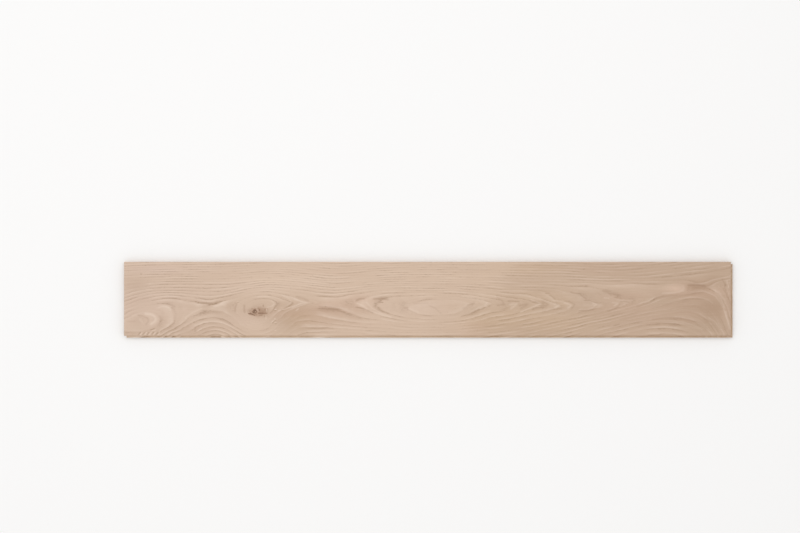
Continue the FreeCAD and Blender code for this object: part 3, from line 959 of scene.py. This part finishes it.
def readSurface(tree):
    # what paintGrain left at each point, its place in mm, and the noise that more than one layer uses
    wood = SimpleNamespace()
    for name in ("ring", "fibre", "brown", "redness", "cool", "bold", "torn", "mark"):
        setattr(wood, name, Field(addNode(tree, "ShaderNodeAttribute", attribute_name=name).outputs["Fac"]))
    split = addNode(tree, "ShaderNodeSeparateXYZ")
    tree.links.new(addNode(tree, "ShaderNodeTexCoord").outputs["Object"], split.inputs[0])
    wood.x, wood.y, wood.z = (Field(socket) / mm for socket in split.outputs)
    wood.hair, wood.streak, wood.broad = (alongFibres(wood, name) for name in ("hair", "streak", "broad"))
    wood.cloud = noise((wood.x, wood.y, wood.z), (60, 42, 42))
    return wood


def drawRings(wood, looks):
    # ring lines start hard and fade outwards; their edge is torn along the fibres
    ragged = sway(alongFibres(wood, "torn"), looks["jagged"] * 2.2) * wood.torn
    waver = sway(alongFibres(wood, "waver"), looks["jagged"] * 2) * (wood.torn + 0.3)
    number = wood.ring + (ragged + waver)
    whole = number.calc("FLOOR")
    part = number - whole

    def ringByRing(step, shift, length, detail):
        # slow noise along a ring, unlike that of the next one
        return noise((wood.x, whole * step + shift, 0), (length, 20, 1), detail)

    chance = fade(wood.bold, 1, 1.7, 1, 0)  # bold stretches leave nothing to chance
    strength = fade(ringByRing(37, 0, 95, 3), 0.38, 0.68, 0.1, 1.35)
    wood.strength = ((strength - 1) * chance + 1) * wood.bold
    reach = wood.bold * 0.12 + fade(ringByRing(53, 11, 60, 2), 0.35, 0.65, 0.16, 0.55)
    wood.early = fade(part, 0, 0.1) * fade(part, 0.06, reach, 1, 0)
    # painted highlight: a pale line at the outer end of each ring, just ahead of the next dark ring line
    wood.late = fade(part, 0.5, 0.84) * fade(part, 0.9, 1, 1, 0)
    wood.ringTone = ringByRing(71, 5, 260, 1)

    # fine lines between them, three to a ring; they fade out towards the quiet upper part
    shift = sway(alongFibres(wood, "fineShift"), 5)
    look = fade(alongFibres(wood, "fineLook"), 0.38, 0.66) * fade(wood.y, 25, 50, 1, 0)
    wood.fineLines = (number * (6 * math.pi) + shift).calc("SINE") * look

    # pores: short dark dashes along the fibres, close together in the early wood
    crowding = wood.early * fade(wood.strength, 0, 0.8, 0.03, 0.16)
    wood.pores = fade(alongFibres(wood, "pores") + crowding, 0.66, 0.76)


def woodColour(wood, looks):
    # tones first, then ring lines and pores over them
    brownness = wood.brown + sway(wood.broad, 0.34) + sway(wood.streak, 0.42) + sway(wood.cloud, 0.16)
    rose = wood.redness + sway(wood.broad, 1.2)
    pairs = wood.early - wood.late * 0.85  # dark early wood, and a painted highlight: a pale line where each ring's latewood ends
    lines = wood.fineLines * 0.07 + pairs * wood.strength * looks["contrast"]
    lines = lines + sway(wood.ringTone, 0.22) + sway(wood.hair, 0.3)
    colour = paint(looks["pale"])
    for amount, tint in (
        (brownness * 0.5, looks["brown"]),
        (brownness * -0.5, tints["palest"]),
        (fade(rose, 0, 1.2, 0, 0.08), tints["rosy"]),
        (fade(rose, 0, -1.2, 0, 0.1), tints["golden"]),
        (wood.cool * 0.5, tints["greyed"]),
        (wood.cool * -0.3, tints["warmed"]),
        (lines * 0.62, looks["line"]),
        # pale wood, and the painted highlight ahead of each ring line
        (lines * -0.62, tints["lateWood"]),
        (wood.pores * looks["pores"], looks["pore"]),
    ):
        colour = tinted(colour, amount, tint)
    return colour


def addFlecks(wood, colour):
    # rare short rays
    flecks = noise((wood.x, wood.fibre, wood.z), (3.2, 0.34, 9), 1)
    return tinted(colour, fade(flecks, 0.7, 0.78) * 0.25, tints["fleck"])


def addEndRays(wood, colour):
    # fine pale lines out from the pith
    across = wood.y - onBoard(0, rings["heartRow"])[1]
    up = wood.z - (top - rings["heartDepth"])
    rays = noise((across.calc("ARCTAN2", up), hypot(across, up), 0), (0.011, 16, 1), 1)
    return tinted(colour, fade(rays, 0.56, 0.68) * 0.35, tints["ray"])


def addKnot(wood, colour):
    # a brown stub of branch with tight rings of its own, fading out at its uneven edge
    bent = sway(noise((wood.x, wood.y, wood.z), (14, 8, 8), 3, 0.6), 0.9)
    out = hypot((wood.x - knotX) / knot["size"][0], (wood.y - knotY) / knot["size"][1]) + bent
    tight = (out * 26).calc("SINE") * 0.12 + 0.5
    return tinted(colour, fade(out, 0.55, 1.25, 1, 0) * tight, tints["knot"])


def addMarks(wood, colour):
    # pale, brown and nearly black strokes, broken into crumbs
    mark = wood.mark * (noise((wood.x, wood.y, wood.z), (4.2, 2.2, 2.2), 5, 0.65) + 0.5)
    colour = tinted(colour, fade(mark, 0, -0.7, 0, 0.75), tints["lateWood"])
    colour = tinted(colour, fade(mark, 0.02, 0.6, 0, 0.85), tints["smudge"])
    return tinted(colour, fade(mark, 0.5, 1, 0, 0.8), tints["crack"])


def fineRelief(wood, looks):
    # open pores, fibres and soft early wood, and the cutters' marks on milled faces
    cutterStep = 2.6
    height = wood.pores * -0.8 + wood.hair * 0.5 - wood.early * wood.strength * 0.35
    if looks["sawn"]:
        wave = (wood.x * (2 * math.pi / cutterStep) + sway(wood.cloud, 3)).calc("SINE")
        height = height + wave * (0.25 * looks["sawn"])
    bump = addNode(wood.x.tree, "ShaderNodeBump")
    bump.inputs["Strength"].default_value = 1
    bump.inputs["Distance"].default_value = looks["bump"]
    feed(bump.inputs["Height"], height)
    return Field(bump.outputs[0])


def oakMaterial(name, looks):
    material = bpy.data.materials.new(f"oak_{name}")
    material.use_nodes = True
    shader = material.node_tree.nodes["Principled BSDF"]
    wood = readSurface(material.node_tree)
    drawRings(wood, looks)
    colour = woodColour(wood, looks)
    colour = addEndRays(wood, colour) if name == "end" else addFlecks(wood, colour)
    if name == "face":
        colour = addKnot(wood, colour)
    feed(shader.inputs["Base Color"], addMarks(wood, colour))
    feed(shader.inputs["Roughness"], wood.pores * 0.16 + looks["rough"] + sway(wood.streak, 0.12))
    feed(shader.inputs["Normal"], fineRelief(wood, looks))
    shader.inputs["Specular IOR Level"].default_value = 0.35
    return material


piece = buildPlank()
paintGrain(piece.data)
materials = {name: oakMaterial(name, looks) for name, looks in oakFinishes.items()}
faceGroups = groupFaces(piece.data)
sortFaces(piece.data, faceGroups, materials)
layBakeMap(piece.data, faceGroups)
piece.data.polygons.foreach_set("use_smooth", [True] * len(piece.data.polygons))
piece.data.set_sharp_from_angle(angle=math.radians(plank["sharpAngle"]))
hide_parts("floorboard")
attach(piece, "root")
print(f"oak plank: {sum(len(face.vertices) - 2 for face in piece.data.polygons)} triangles")


studio = dict(
    floor=(247, 247, 247),
    floorSize=16000,
    floorGap=0.1,  # between the floor and the board's underside, so that they never flicker
    floorRough=0.9,
    floorGloss=0.1,
    sky=(252, 251, 250),
    skyStrength=0.86,
    lampSize=(6000, 5000),
    lampPlace=(-900, 1300, 5200),
    lampPower=78,
)


def buildFloor():
    mesh = bpy.data.meshes.new("studio_floor")
    half = studio["floorSize"] / 2 * mm
    drop = -studio["floorGap"] * mm
    mesh.from_pydata([(-half, -half, drop), (half, -half, drop), (half, half, drop), (-half, half, drop)],
                     [], [(0, 1, 2, 3)])
    floor = bpy.data.objects.new("studio_floor", mesh)
    bpy.context.collection.objects.link(floor)
    material = bpy.data.materials.new("studio_floor")
    material.use_nodes = True
    shader = material.node_tree.nodes["Principled BSDF"]
    shader.inputs["Base Color"].default_value = paint(studio["floor"])
    shader.inputs["Roughness"].default_value = studio["floorRough"]
    shader.inputs["Specular IOR Level"].default_value = studio["floorGloss"]
    mesh.materials.append(material)


def buildLight():
    world = bpy.data.worlds.new("studio")
    world.use_nodes = True
    sky = world.node_tree.nodes["Background"]
    sky.inputs["Color"].default_value = paint(studio["sky"])
    sky.inputs["Strength"].default_value = studio["skyStrength"]
    bpy.context.scene.world = world

    lamp = bpy.data.lights.new("softbox", "AREA")
    lamp.shape = "RECTANGLE"
    lamp.size, lamp.size_y = (side * mm for side in studio["lampSize"])
    lamp.energy = studio["lampPower"]
    hung = bpy.data.objects.new("softbox", lamp)
    hung.location = Vector(studio["lampPlace"]) * mm
    hung.rotation_euler = (-hung.location).to_track_quat("-Z", "Y").to_euler()
    bpy.context.collection.objects.link(hung)
    bpy.context.scene.view_settings.view_transform = "Standard"
    bpy.context.scene.view_settings.look = "None"


view = dict(lens=85, sensor=36, farthest=100)  # mm, mm and metres


def buildCamera():
    # straight above the board, as far as makes the face as long as it is in the photograph
    wide = photo["width"] * mmPerPixel
    x, y = onBoard(photo["width"] / 2, photo["height"] / 2)
    data = bpy.data.cameras.new("overhead")
    data.lens, data.sensor_width = view["lens"], view["sensor"]
    data.clip_end = view["farthest"]
    camera = bpy.data.objects.new("overhead", data)
    camera.location = Vector((x, y, top + wide * view["lens"] / view["sensor"])) * mm
    bpy.context.collection.objects.link(camera)
    bpy.context.scene.camera = camera


buildFloor()
buildLight()
buildCamera()
print("studio and camera are in place")
